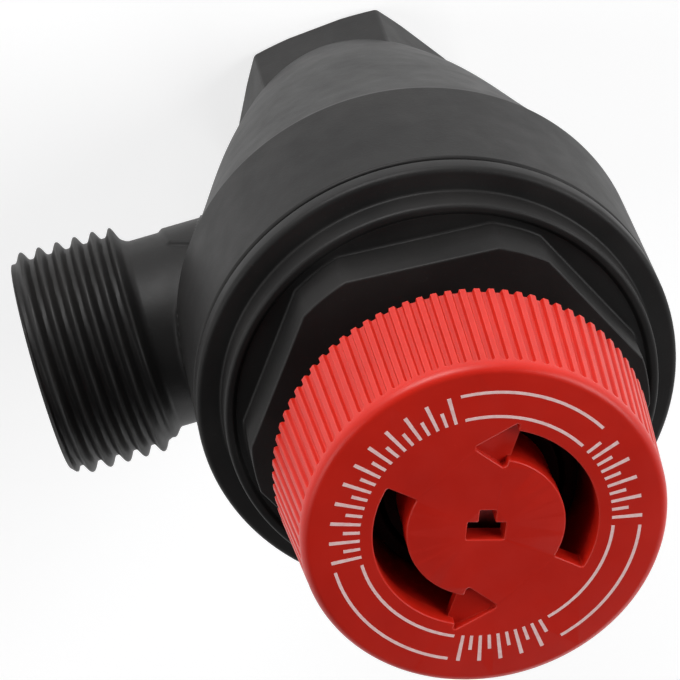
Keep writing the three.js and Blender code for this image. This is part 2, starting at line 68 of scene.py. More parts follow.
# Heights along the valve axis
HEX_TOP = 7.15
WEB_BOTTOM = 10.6
CHAMBER_FLOOR = 14.3
SEAT_HEIGHT = 21.85
OUTLET_HEIGHT = 23.55
BOWL_BOTTOM = 28.95
HOLDER_TOP = 33.4
LEDGE_HEIGHT = 36.6
BONNET_BOTTOM = 39.05
BODY_TOP = 39.75
COLLAR_BOTTOM = 40.05
COLLAR_TOP = 41.4
STEP_TOP = 43.4
FLATS_TOP = 46.7
CAM_BASE = 47.7
KNOB_BOTTOM = 50.65
TOWER_TOP = 54.2
KNOB_UNDERSIDE = 58.15
KNOB_TOP = 59.6

# Radii about the valve axis
HEX_ACROSS_FLATS = 17.2
HEX_TURN = math.radians(5)
FUNNEL = [(8.2, 2.4), (9.85, 6.35), (12.25, 13.5), (14.7, 22.65), (16.3, 28.6)]
BOWL_RADIUS = 16.55
CHAMBER_RADIUS = 11.6
BONNET_THREAD_RADIUS = 14.3
STEP_RADIUS = 14.85
TOWER_RADIUS = 7.0
TOWER_BORE = 6.1
INSERT_RADIUS = 7.5
NOZZLE_RADIUS = 5.4
SEAT_BORE = 4.0
STEM_RADIUS = 1.75

# Outlet branch
OUTLET_END = 26.7
THREAD_START = 18.1
NECK_RADIUS = 6.95
OUTLET_BORE = 6.05
NECK_FILLET = 0.35
# The lower half of the neck stands a little proud near the funnel. Its end is at RIB_END and its two
# upper edges lie RIB_EDGE above the neck's widest line, in mm, sloping up by RIB_SLOPE per mm.
RIB_HEIGHT = 0.22
RIB_END = 15.6
RIB_EDGE = 0.48
RIB_SLOPE = 0.5

# Bonnet flats and cam ramps
FLAT_CENTRE = math.radians(-94)
FLAT_DISTANCE = 12.49
FLAT_CORNER_RADIUS = 13.5
CAM_RADIUS = 9.3
CAVITY_RADIUS = 11.9
RAMP_START = math.radians(4)
RAMP_ANGLE = math.radians(90)
RAMP_LEVEL = math.radians(14)
RAMP_LIFT = 1.6

# Inside: the nozzle's ring groove, the seat disc (radius, bottom, top) and its screw's hole, the
# insert's tapped depth and passage, the diaphragm, the stem and the spring
GROOVE_RADIUS = 4.6
GROOVE_HEIGHTS = (11.75, 13.35)
SEAT_DISC = (5.8, 22.15, 24.25)
SCREW_HOLE = 1.5
TAP_DEPTH = 8.3
INSERT_PASSAGE = 4.5
DIAPHRAGM_THICKNESS = 1.0
DIAPHRAGM_HEIGHTS = (33.7, 36.9)
DIAPHRAGM_ROLL = (7.2, 11.3)
DIAPHRAGM_RIM = 14.2
STEM_ENDS = (28.3, 57.65)
SPRING = {"radius": 5.0, "wire": 0.68, "turns": 5.5, "bottom": 36.4, "top": 49.05}

# Knob
KNOB_FACE_RADIUS = 11.3
KNOB_FRONT_RADIUS = 11.9
KNOB_BACK_RADIUS = 12.6
KNOB_EDGE = 0.8
SKIRT_RADII = (11.25, 11.0)
BACK_CHAMFER = 0.12
FLUTES = 84
FLUTE_DEPTH = 0.27
FLUTE_WIDTH = 0.56
FLUTE_WALL = 0.14
FLUTE_TOP = 58.8
HUB_RADIUS = 5.05
HUB_BOTTOM = 54.6
STEM_HOLE = 2.05
HEAD_POCKET = 2.95
POCKET_BOTTOM = 55.75
SLEEVE_RADII = (7.4, 9.0)
SLEEVE_BOTTOM = 49.9
LUG_BOTTOM = 48.3
LUG_HALF_ANGLE = math.radians(5)
CORE_HOLE_TURN = math.radians(-19)

# The two arc slots in the knob's face, each led by an arrow head, with angles in degrees
SLOT_RADII = (5.15, 7.3)
SLOT_START = -43
SLOT_END = 58
ARROW_RADII = (4.45, 6.1, 7.95)
ARROW_BARB = 61
ARROW_TIP = 85
ARROW_DEPTHS = (0.28, 0.75)

# Print on the face: two rings in three arcs, with angles in degrees
PRINT_RADII = (8.25, 10.0)
PRINT_ARCS = [(0.2, 62.4), (106.6, 162.6), (208.9, 266.5)]
PRINT_LINE = 0.21
PRINT_LEVELS = (KNOB_TOP - 0.01, KNOB_TOP + 0.01)
TICK_SPACING = 4.2

# Camera: where it stands, what it looks at, which way is up in the picture, and its lens
CAMERA_AT = (0.00626, -0.12793, 0.24975)
CAMERA_AIM = (0.00560, -0.01204, 0.05225)
CAMERA_UP = (-0.2782, -0.8288, -0.4854)
CAMERA_LENS = 190.6

# Studio: a light table under the valve, a pale backdrop round the horizon, and soft lamps
FLOOR_GLOW = 0.65
BACKDROP_TOP = (math.radians(12), math.radians(26))
BACKDROP_COLOUR = (0.75, 0.75, 0.75)
ROOM_COLOUR = (0.04, 0.04, 0.045)
SOFTBOXES = {
    # name: place, size in metres, watts
    "left": ((0.44, -0.12, 0.36), 0.32, 0.8),
    "right": ((-0.44, -0.08, 0.32), 0.32, 1.7),
    "front": ((0.04, -0.64, 0.10), 0.28, 3.2),
    "back": ((-0.12, 0.56, 0.20), 0.32, 0.8),
}

# ------------------------------------------------------------------ outlines


def polar(radius, angle):
    return (radius * math.cos(angle), radius * math.sin(angle))


def circle(radius, count):
    return [polar(radius, TURN * k / count) for k in range(count)]


def arc(radius, start, end, count):
    """Points on an arc, both ends included."""
    return [polar(radius, start + (end - start) * k / count) for k in range(count + 1)]


def filleted(corners, closed=True, steps=4):
    """An outline whose corners (x, y, radius) are rounded. A corner with no radius stays sharp."""
    outline = []
    count = len(corners)
    for k, corner in enumerate(corners):
        here = Vector(corner[:2])
        radius = corner[2] if len(corner) > 2 else 0
        at_end = not closed and k in (0, count - 1)
        before = Vector(corners[k - 1][:2]) - here
        after = Vector(corners[(k + 1) % count][:2]) - here
        if radius == 0 or at_end or before.length < 1e-6 or after.length < 1e-6:
            outline.append(tuple(here))
            continue
        half = before.angle(after) / 2
        if half > math.radians(88):
            outline.append(tuple(here))
            continue
        reach = min(radius / math.tan(half), 0.48 * before.length, 0.48 * after.length)
        radius = reach * math.tan(half)
        centre = here + (before.normalized() + after.normalized()).normalized() * radius / math.sin(half)
        first = here + before.normalized() * reach - centre
        last = here + after.normalized() * reach - centre
        sweep = first.angle_signed(last)
        for step in range(steps + 1):
            turned = first.copy()
            turned.rotate(Matrix.Rotation(-sweep * step / steps, 2))
            outline.append(tuple(centre + turned))
    return outline


def offset(outline, distance):
    """A closed outline moved sideways, to its left where distance is positive."""
    moved = []
    for k, here in enumerate(outline):
        here = Vector(here)
        before = (here - Vector(outline[k - 1])).normalized()
        after = (Vector(outline[(k + 1) % len(outline)]) - here).normalized()
        left = Vector((-before.y - after.y, before.x + after.x)).normalized()
        stretch = max(left.dot(Vector((-before.y, before.x))), 0.4)
        moved.append(tuple(here + left * distance / stretch))
    return moved


def turned_by(outline, angle):
    spin = Matrix.Rotation(angle, 2)
    return [tuple(spin @ Vector(point)) for point in outline]


def lifted(outline, height):
    """An outline as a ring in space. height is a number or a function of x, y."""
    return [(x, y, height(x, y) if callable(height) else height) for x, y in outline]


def flattened(ring):
    return [point[:2] for point in ring]


def quarter(steps):
    """Angles from 0 to a right angle."""
    return [step / steps * math.pi / 2 for step in range(steps + 1)]


def rounded_mouth(outline, top, radius):
    """Rings that round the top edge of a hole into the face around it."""
    return [lifted(offset(outline, -radius * (1 - math.sin(bend))), top - radius * (1 - math.cos(bend)))
            for bend in quarter(3)]


def smooth_step(low, high, value):
    t = min(max((value - low) / (high - low), 0.0), 1.0)
    return t * t * (3 - 2 * t)


def funnel_radius(height):
    """Outside of the body between the hexagon and the bowl: a smooth curve through the FUNNEL points."""
    last = len(FUNNEL) - 1
    k = next((k for k in range(last) if height <= FUNNEL[k + 1][1]), last - 1)
    slopes = []
    for knot in (k, k + 1):
        below, above = FUNNEL[max(knot - 1, 0)], FUNNEL[min(knot + 1, last)]
        slopes.append((above[0] - below[0]) / (above[1] - below[1]))
    (first, low), (second, high) = FUNNEL[k], FUNNEL[k + 1]
    span = high - low
    t = min(max((height - low) / span, 0.0), 1.0)
    return ((2 * t**3 - 3 * t**2 + 1) * first + (t**3 - 2 * t**2 + t) * span * slopes[0]
            + (3 * t**2 - 2 * t**3) * second + (t**3 - t**2) * span * slopes[1])


# ------------------------------------------------------------------ meshes


class Skin:
    """The surface of one closed solid while it is drawn, in millimetres."""

    def __init__(self):
        self.mesh = bmesh.new()

    def add_ring(self, points):
        return [self.mesh.verts.new(point) for point in points]

    def bridge(self, rings):
        """Quads between each closed ring of points and the next."""
        rows = [self.add_ring(ring) for ring in rings]
        for low, high in zip(rows, rows[1:]):
            count = len(low)
            for k in range(count):
                after = (k + 1) % count
                self.mesh.faces.new((low[k], low[after], high[after], high[k]))

    def turned(self, profile, count):
        """A surface turned about +Z from (radius, height) points. A point on the axis closes it."""
        inner = [point for point in profile if point[0] > 1e-6]
        self.bridge([[(*xy, height) for xy in circle(radius, count)] for radius, height in inner])
        for end, neighbour in ((profile[0], inner[0]), (profile[-1], inner[-1])):
            if end[0] <= 1e-6:
                rim = self.add_ring([(*xy, neighbour[1]) for xy in circle(neighbour[0], count)])
                tip = self.mesh.verts.new((0, 0, end[1]))
                for k in range(count):
                    self.mesh.faces.new((rim[k], rim[(k + 1) % count], tip))

    def flat(self, outline, holes=(), height=0.0):
        """The region inside an outline and outside its holes. height is a number or a function of x, y."""
        points, loops = [], []
        for loop in (outline, *holes):
            loops.append(list(range(len(points), len(points) + len(loop))))
            points.extend(Vector(xy) for xy in loop)
        found, _, faces, _, _, origins = delaunay_2d_cdt(points, [], loops, 1, 1e-6)
        level = height if callable(height) else lambda x, y: height
        corners = [self.mesh.verts.new((x, y, level(x, y))) for x, y in found]
        for face, origin in zip(faces, origins):
            if list(origin) == [0]:
                self.mesh.faces.new([corners[k] for k in face])

    def ribbon(self, radii, degrees, levels, steps):
        """A thin raised band between two radii and two angles."""
        corners = [(radii[0], levels[0]), (radii[1], levels[0]), (radii[1], levels[1]), (radii[0], levels[1])]
        angles = [math.radians(degrees[0] + (degrees[1] - degrees[0]) * k / steps) for k in range(steps + 1)]
        rings = [[(*polar(radius, angle), level) for radius, level in corners] for angle in angles]
        self.bridge(rings)
        for ring in (rings[0], rings[-1]):
            self.mesh.faces.new(self.add_ring(ring))

    def place(self, matrix):
        bmesh.ops.transform(self.mesh, matrix=matrix, verts=self.mesh.verts)
        return self

    def object(self, name):
        """The finished mesh as a Blender object in metres, with its outside facing out."""
        bmesh.ops.remove_doubles(self.mesh, verts=self.mesh.verts, dist=2e-4)
        bmesh.ops.dissolve_degenerate(self.mesh, edges=self.mesh.edges, dist=1e-4)
        bmesh.ops.recalc_face_normals(self.mesh, faces=self.mesh.faces)
        open_edges = sum(1 for edge in self.mesh.edges if not edge.is_manifold)
        print(f"{name}: {len(self.mesh.faces)} faces, {open_edges} open edges")
        bmesh.ops.scale(self.mesh, vec=(MM, MM, MM), verts=self.mesh.verts)
        data = bpy.data.meshes.new(name)
        self.mesh.to_mesh(data)
        self.mesh.free()
        piece = bpy.data.objects.new(name, data)
        bpy.context.scene.collection.objects.link(piece)
        return piece


def combine(piece, other, operation):
    """Joins a solid to a piece, or cuts it away, and drops the tool."""
    modifier = piece.modifiers.new("combine", "BOOLEAN")
    modifier.operation = operation
    modifier.solver = "MANIFOLD"
    modifier.object = other
    apply_modifiers(piece)
    bpy.data.objects.remove(other)


def apply_modifiers(piece):
    evaluated = piece.evaluated_get(bpy.context.evaluated_depsgraph_get())
    data = bpy.data.meshes.new_from_object(evaluated)
    data.name = piece.name
    piece.modifiers.clear()
    piece.data = data


def shade(piece, sharp_angle=32):
    """Smooth shading that stays crisp at edges and even on large flats."""
    piece.data.shade_smooth()
    piece.data.set_sharp_from_angle(angle=math.radians(sharp_angle))
    modifier = piece.modifiers.new("even_normals", "WEIGHTED_NORMAL")
    modifier.keep_sharp = True
    modifier.weight = 80
    apply_modifiers(piece)


def dress(piece, material, body, slot, *replaced):
    """Gives a finished piece its shading, its material and its body, and hides the CAD parts it replaces."""
    shade(piece)
    piece.data.materials.clear()
    piece.data.materials.append(material)
    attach(piece, body)
    if replaced:
        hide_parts(*replaced)
    return piece


# ------------------------------------------------------------------ materials


class Nodes:
    """A material's node tree with short calls for the few node kinds used here."""

    def __init__(self, name):
        self.material = bpy.data.materials.new(name)
        self.material.use_nodes = True
        self.tree = self.material.node_tree
        self.shader = self.tree.nodes["Principled BSDF"]
        self.position = self.tree.nodes.new("ShaderNodeTexCoord").outputs["Object"]

    def new(self, kind, **settings):
        node = self.tree.nodes.new(kind)
        for name, value in settings.items():
            setattr(node, name, value)
        return node

    def link(self, source, target):
        self.tree.links.new(source, target)

    def noise(self, size_mm, detail=3.0, roughness=0.55, stretch=(1, 1, 1)):
        """Noise from 0 to 1 whose blotches are about size_mm across."""
        mapping = self.new("ShaderNodeMapping")
        mapping.inputs["Scale"].default_value = stretch
        self.link(self.position, mapping.inputs["Vector"])
        node = self.new("ShaderNodeTexNoise")
        node.inputs["Scale"].default_value = 1 / (size_mm * MM)
        node.inputs["Detail"].default_value = detail
        node.inputs["Roughness"].default_value = roughness
        self.link(mapping.outputs["Vector"], node.inputs["Vector"])
        return node.outputs["Fac"]

    def ramp(self, value, low, high, stops):
        """Colours between two levels of a value."""
        node = self.new("ShaderNodeValToRGB")
        elements = node.color_ramp.elements
        elements[0].position, elements[0].color = low, (*stops[0], 1)
        elements[1].position, elements[1].color = high, (*stops[-1], 1)
        for k, colour in enumerate(stops[1:-1], 1):
            middle = elements.new(low + (high - low) * k / (len(stops) - 1))
            middle.color = (*colour, 1)
        self.link(value, node.inputs["Fac"])
        return node.outputs["Color"]

    def scaled(self, value, low, high):
        """A value from 0 to 1 mapped to a range."""
        node = self.new("ShaderNodeMapRange")
        node.inputs["To Min"].default_value = low
        node.inputs["To Max"].default_value = high
        self.link(value, node.inputs["Value"])
        return node.outputs["Result"]

    def mix(self, factor, first, second, blend="MIX"):
        node = self.new("ShaderNodeMix", data_type="RGBA", blend_type=blend)
        for value, socket in ((factor, node.inputs[0]), (first, node.inputs[6]), (second, node.inputs[7])):
            if isinstance(value, bpy.types.NodeSocket):
                self.link(value, socket)
            elif socket == node.inputs[0]:
                socket.default_value = value
            else:
                socket.default_value = (*value, 1)
        return node.outputs[2]

    def bumps(self, *layers):
        """Bump maps on top of each other, each a (height value, depth in mm) pair."""
        normal = None
        for height, depth in layers:
            node = self.new("ShaderNodeBump")
            node.inputs["Strength"].default_value = 1.0
            node.inputs["Distance"].default_value = depth * MM
            self.link(height, node.inputs["Height"])
            if normal is not None:
                self.link(normal, node.inputs["Normal"])
            normal = node.outputs["Normal"]
        self.link(normal, self.shader.inputs["Normal"])

    def set(self, **values):
        for name, value in values.items():
            self.shader.inputs[name.replace("_", " ")].default_value = value


def worn_edges(nodes, width_mm):
    """1 along convex edges and 0 elsewhere, broken up by noise."""
    bevel = nodes.new("ShaderNodeBevel", samples=4)
    bevel.inputs["Radius"].default_value = width_mm * MM
    geometry = nodes.new("ShaderNodeNewGeometry")
    facing = nodes.new("ShaderNodeVectorMath", operation="DOT_PRODUCT")
    nodes.link(bevel.outputs["Normal"], facing.inputs[0])
    nodes.link(geometry.outputs["Normal"], facing.inputs[1])
    level = nodes.new("ShaderNodeMapRange")
    level.inputs["From Min"].default_value = 0.995
    level.inputs["From Max"].default_value = 0.9
    nodes.link(facing.outputs["Value"], level.inputs["Value"])
    broken = nodes.new("ShaderNodeMath", operation="MULTIPLY")
    nodes.link(level.outputs["Result"], broken.inputs[0])
    nodes.link(nodes.noise(1.2, detail=4), broken.inputs[1])
    return broken.outputs["Value"]


def black_nylon():
    """Glass-filled nylon: near black, satin, with fine grain and faint flow marks."""
    nodes = Nodes("black_nylon")
    flow = nodes.ramp(nodes.noise(7, detail=4), 0.3, 0.75,
                      [(0.0085, 0.0081, 0.0081), (0.0125, 0.0119, 0.0117), (0.0170, 0.0160, 0.0155)])
    fibres = nodes.ramp(nodes.noise(0.28, detail=5, roughness=0.7), 0.62, 0.80,
                        [(0.0, 0.0, 0.0), (0.022, 0.021, 0.020)])
    colour = nodes.mix(1.0, flow, fibres, blend="ADD")
    colour = nodes.mix(worn_edges(nodes, 0.2), colour, (0.040, 0.038, 0.037))
    nodes.link(colour, nodes.shader.inputs["Base Color"])
    nodes.link(nodes.scaled(nodes.noise(2, detail=5), 0.40, 0.58), nodes.shader.inputs["Roughness"])
    nodes.bumps((nodes.noise(3.2, detail=2), 0.02), (nodes.noise(0.18, detail=3), 0.008))
    nodes.set(IOR=1.53, Specular_IOR_Level=0.2)
    return nodes.material


def red_plastic():
    """Moulded red plastic, semi-gloss, with fine grain, slight mottling and pale rubbed edges."""
    nodes = Nodes("red_plastic")
    body = nodes.ramp(nodes.noise(6, detail=3), 0.3, 0.7,
                      [(0.50, 0.011, 0.004), (0.54, 0.013, 0.005), (0.58, 0.015, 0.006)])
    specks = nodes.ramp(nodes.noise(0.4, detail=5, roughness=0.7), 0.66, 0.76,
                        [(0, 0, 0), (0.06, 0.012, 0.008)])
    colour = nodes.mix(1.0, body, specks, blend="ADD")
    colour = nodes.mix(worn_edges(nodes, 0.18), colour, (0.66, 0.06, 0.035))
    nodes.link(colour, nodes.shader.inputs["Base Color"])
    nodes.link(nodes.scaled(nodes.noise(1.8, detail=4), 0.30, 0.46), nodes.shader.inputs["Roughness"])
    nodes.bumps((nodes.noise(3, detail=2), 0.02), (nodes.noise(0.3, detail=3), 0.006))
    nodes.set(IOR=1.5, Specular_IOR_Level=0.35, Subsurface_Weight=0.04, Subsurface_Scale=0.0006)
    nodes.shader.inputs["Subsurface Radius"].default_value = (1.0, 0.25, 0.15)
    return nodes.material


def print_ink():
    """Pad-printed white ink, thin enough for the red to tint it."""
    nodes = Nodes("print_ink")
    colour = nodes.ramp(nodes.noise(0.4, detail=4), 0.3, 0.7, [(0.84, 0.52, 0.50), (0.93, 0.68, 0.66)])
    nodes.link(colour, nodes.shader.inputs["Base Color"])
    nodes.link(nodes.scaled(nodes.noise(0.5), 0.45, 0.6), nodes.shader.inputs["Roughness"])
    nodes.bumps((nodes.noise(0.25, detail=3), 0.004))
    return nodes.material


def machined(name, dark, light):
    """Turned metal: fine tool rings about the valve axis and slightly uneven colour."""
    nodes = Nodes(name)
    colour = nodes.ramp(nodes.noise(3, detail=5), 0.3, 0.7, [dark, light])
    nodes.link(colour, nodes.shader.inputs["Base Color"])
    nodes.link(nodes.scaled(nodes.noise(1.2, detail=5), 0.22, 0.38), nodes.shader.inputs["Roughness"])
    rings = nodes.noise(0.25, detail=2, stretch=(0.05, 0.05, 1))
    nodes.bumps((rings, 0.006), (nodes.noise(0.3), 0.003))
    nodes.set(Metallic=1.0)
    return nodes.material


def rubber():
    """Black EPDM with a dull bloom."""
    nodes = Nodes("rubber")
    colour = nodes.ramp(nodes.noise(1.5, detail=5), 0.35, 0.7, [(0.012, 0.012, 0.012), (0.028, 0.027, 0.026)])
    nodes.link(colour, nodes.shader.inputs["Base Color"])
    nodes.link(nodes.scaled(nodes.noise(0.8, detail=4), 0.55, 0.75), nodes.shader.inputs["Roughness"])
    nodes.bumps((nodes.noise(0.2, detail=3), 0.012))
    return nodes.material


def acetal():
    """Milky white acetal."""
    nodes = Nodes("acetal")
    colour = nodes.ramp(nodes.noise(3, detail=3), 0.3, 0.7, [(0.66, 0.64, 0.58), (0.74, 0.72, 0.67)])
    nodes.link(colour, nodes.shader.inputs["Base Color"])
    nodes.link(nodes.scaled(nodes.noise(1.0, detail=4), 0.35, 0.5), nodes.shader.inputs["Roughness"])
    nodes.bumps((nodes.noise(0.3), 0.006))
    nodes.set(Subsurface_Weight=0.1, Subsurface_Scale=0.001)
    return nodes.material


# ------------------------------------------------------------------ knob


def grip_radius(height):
    t = (height - KNOB_BOTTOM) / (KNOB_TOP - KNOB_EDGE - KNOB_BOTTOM)
    return KNOB_BACK_RADIUS + (KNOB_FRONT_RADIUS - KNOB_BACK_RADIUS) * t


def flute_cut(angle, height):
    """How deep the grip's surface lies in a flute: sloping walls, a round front end, no back end."""
    pitch = TURN / FLUTES
    across = abs((angle / pitch) % 1 - 0.5) * pitch * KNOB_FRONT_RADIUS
    half_width = FLUTE_WIDTH / 2
    along = height - (FLUTE_TOP - half_width)
    distance = half_width - (math.hypot(across, along) if along > 0 else across)
    return FLUTE_DEPTH * smooth_step(0, FLUTE_WALL, distance)


def grip_angles():
    """Angles of the grip's columns, gathered where the flutes have their walls."""
    half = [0, 0.08, 0.14, 0.18, 0.21, 0.245, 0.28, 0.315, 0.35, 0.385, 0.44]
    shares = [*half, 0.5, *(1 - share for share in reversed(half[1:]))]
    return [(flute + share) * TURN / FLUTES for flute in range(FLUTES) for share in shares]


def grip_ring(height, angles):
    return [(*polar(grip_radius(height) - flute_cut(angle, height), angle), height) for angle in angles]


def knob_grip(skin, angles):
    """The rounded front edge and the fluted side. Returns the outlines of the face and of the back rim."""
    edge = []
    for bend in quarter(7):
        radius = KNOB_FACE_RADIUS + (KNOB_FRONT_RADIUS - KNOB_FACE_RADIUS) * math.sin(bend)
        height = KNOB_TOP - KNOB_EDGE * (1 - math.cos(bend))
        edge.append([(*polar(radius, angle), height) for angle in angles])
    ends = [FLUTE_TOP - 0.05 * k for k in range(16)]
    start, stop = ends[-1], KNOB_BOTTOM + BACK_CHAMFER
    rest = [start + (stop - start) * k / 8 for k in range(1, 9)]
    grip = [grip_ring(height, angles) for height in (*ends, *rest)]
    shrink = 1 - BACK_CHAMFER / KNOB_BACK_RADIUS
    back = [(x * shrink, y * shrink, KNOB_BOTTOM) for x, y, _ in grip[-1]]
    skin.bridge([*edge, *grip, back])
    return flattened(edge[0]), flattened(back)


def arrow_outline(turn):
    """The outline of a slot and its arrow head together, anticlockwise."""
    start, end, barb, tip = (math.radians(angle) for angle in (SLOT_START, SLOT_END, ARROW_BARB, ARROW_TIP))
    outer = arc(SLOT_RADII[1], start, end, 40)
    inner = arc(SLOT_RADII[0], end, start, 36)
    corners = [
        (*outer[0], 0.16),
        *outer[1:],
        (*polar(SLOT_RADII[1], barb), 0.12),
        (*polar(ARROW_RADII[2], barb), 0.2),
        (*polar(ARROW_RADII[1], tip), 0.24),
        (*polar(ARROW_RADII[0], barb), 0.2),
        (*polar(SLOT_RADII[0], barb), 0.12),
        *inner[:-1],
        (*inner[-1], 0.16),
    ]
    return turned_by(filleted(corners), turn)


def arrow_floor(turn):
    """Height of the arrow pocket's floor, which slopes up towards the tip and is level under the slot."""
    shallow, deep = ARROW_DEPTHS

    def height(x, y):
        angle = math.degrees(math.remainder(math.atan2(y, x) - turn, TURN))
        share = min(max((angle - SLOT_END) / (ARROW_TIP - SLOT_END), 0.0), 1.0)
        return KNOB_TOP - deep + (deep - shallow) * share

    return height


def knob_arrow(skin, turn):
    """One slot with its arrow pocket. Returns its outline on the face and on the underside."""
    outline = arrow_outline(turn)
    floor = arrow_floor(turn)
    rows = rounded_mouth(outline, KNOB_TOP, 0.11)
    skin.bridge([*rows, lifted(outline, floor)])
    end = math.radians(SLOT_END) + turn
    count = len(outline)
    through = [math.remainder(math.atan2(y, x) - end, TURN) < 1e-4 for x, y in outline]
    first = next(k for k in range(count) if through[k] and not through[k - 1])
    length = sum(through)
    slot = [outline[(first + k) % count] for k in range(length)]
    head = [outline[(first + length - 1 + k) % count] for k in range(count - length + 2)]
    skin.flat(head, height=floor)
    skin.bridge([lifted(slot, KNOB_TOP - ARROW_DEPTHS[1]), lifted(slot, KNOB_UNDERSIDE)])
    return flattened(rows[0]), slot


def core_hole():
    """The T-shaped hole over the stem, anticlockwise."""
    corners = [(-1.25, 0.85), (-1.25, -0.45), (-0.55, -0.45), (-0.55, -1.35), (0.55, -1.35), (0.55, -0.45),
               (1.25, -0.45), (1.25, 0.85)]
    return turned_by(filleted([(*corner, 0.1) for corner in corners]), CORE_HOLE_TURN)


def knob_sleeve(skin, sides):
    """The guide sleeve under the face, with the two lugs that climb the ramps."""

    def ring(radius, share):
        points = []
        for k in range(sides):
            angle = TURN * k / sides
            from_lug = abs(math.remainder(angle, math.pi))
            rise = smooth_step(LUG_HALF_ANGLE, LUG_HALF_ANGLE + TURN / sides, from_lug)
            end = LUG_BOTTOM + (SLEEVE_BOTTOM - LUG_BOTTOM) * rise
            points.append((*polar(radius, angle), end + (KNOB_UNDERSIDE - end) * share))
        return points

    inner, outer = SLEEVE_RADII
    skin.bridge([ring(outer, 1), ring(outer, 0.02), ring(outer - 0.12, 0),
                 ring(inner + 0.12, 0), ring(inner, 0.02), ring(inner, 1)])


def knob_underside(skin, back_rim, slots, sides):
    """Everything behind the face: the hollow skirt, the ring round the sleeve, and the hub."""
    mouth, deep = SKIRT_RADII
    corner = 0.3
    skin.flat(back_rim, [circle(mouth + BACK_CHAMFER, sides)], KNOB_BOTTOM)
    skin.turned(filleted([
        (mouth + BACK_CHAMFER, KNOB_BOTTOM),
        (mouth, KNOB_BOTTOM + BACK_CHAMFER),
        (deep, KNOB_UNDERSIDE, corner),
        (deep - 2 * corner, KNOB_UNDERSIDE),
    ], closed=False), sides)
    skin.flat(circle(deep - 2 * corner, sides), [circle(SLEEVE_RADII[1], sides)], KNOB_UNDERSIDE)
    knob_sleeve(skin, sides)
    skin.flat(circle(SLEEVE_RADII[0], sides), [circle(HUB_RADIUS, sides), *slots], KNOB_UNDERSIDE)
    skin.turned(filleted([
        (HUB_RADIUS, KNOB_UNDERSIDE),
        (HUB_RADIUS, HUB_BOTTOM, 0.25),
        (STEM_HOLE, HUB_BOTTOM, 0.25),
        (STEM_HOLE, POCKET_BOTTOM),
        (HEAD_POCKET, POCKET_BOTTOM),
        (HEAD_POCKET, KNOB_UNDERSIDE),
    ], closed=False), sides)
    skin.flat(circle(HEAD_POCKET, sides), [core_hole()], KNOB_UNDERSIDE)


def make_knob():
    """The knob in one piece: the grip, the face with its slots and core hole, and the hollow behind."""
    skin = Skin()
    face, back_rim = knob_grip(skin, grip_angles())
    arrows = [knob_arrow(skin, turn) for turn in (0, math.pi)]
    hole_rows = rounded_mouth(core_hole(), KNOB_TOP, 0.08)
    skin.bridge([*hole_rows, lifted(core_hole(), KNOB_UNDERSIDE)])
    skin.flat(face, [flattened(hole_rows[0]), *(mouth for mouth, _ in arrows)], KNOB_TOP)
    knob_underside(skin, back_rim, [slot for _, slot in arrows], sides=168)
    return skin.object("knob_shell")


def make_knob_print():
    """The printed rings on the face, and plain graduation ticks in the gaps between them."""
    skin = Skin()
    inner, outer = PRINT_RADII
    for start, end in PRINT_ARCS:
        for radius in PRINT_RADII:
            skin.ribbon((radius - PRINT_LINE / 2, radius + PRINT_LINE / 2), (start, end), PRINT_LEVELS, 60)
    for k, (_, gap_start) in enumerate(PRINT_ARCS):
        gap_end = PRINT_ARCS[(k + 1) % len(PRINT_ARCS)][0]
        gap_end += 360 if gap_end < gap_start else 0
        ticks = round((gap_end - gap_start) / TICK_SPACING) - 1
        spacing = (gap_end - gap_start) / (ticks + 1)
        for tick in range(1, ticks + 1):
            middle = gap_start + tick * spacing
            half_width = math.degrees(PRINT_LINE / 2 / inner)
            reach = outer if tick % 2 else (inner + outer) / 2
            limits = (inner - PRINT_LINE / 2, reach + PRINT_LINE / 2)
            skin.ribbon(limits, (middle - half_width, middle + half_width), PRINT_LEVELS, 2)
    return skin.object("knob_print")


# ------------------------------------------------------------------ bonnet


def clipped_hexagon():
    """The spanner flats with their corners turned off, anticlockwise."""
    half = math.acos(FLAT_DISTANCE / FLAT_CORNER_RADIUS)
    outline = []
    for k in range(6):
        centre = FLAT_CENTRE + k * math.pi / 3
        outline.extend(arc(FLAT_CORNER_RADIUS, centre + half, centre + math.pi / 3 - half, 8))
    return outline


def cam_height(angle):
    """Top of the cam track: two equal ramps with level ends that drop back steeply."""
    turn = (angle - RAMP_START) % math.pi
    if turn > RAMP_ANGLE + RAMP_LEVEL:
        return CAM_BASE
    return CAM_BASE + RAMP_LIFT * min(turn / RAMP_ANGLE, 1.0)


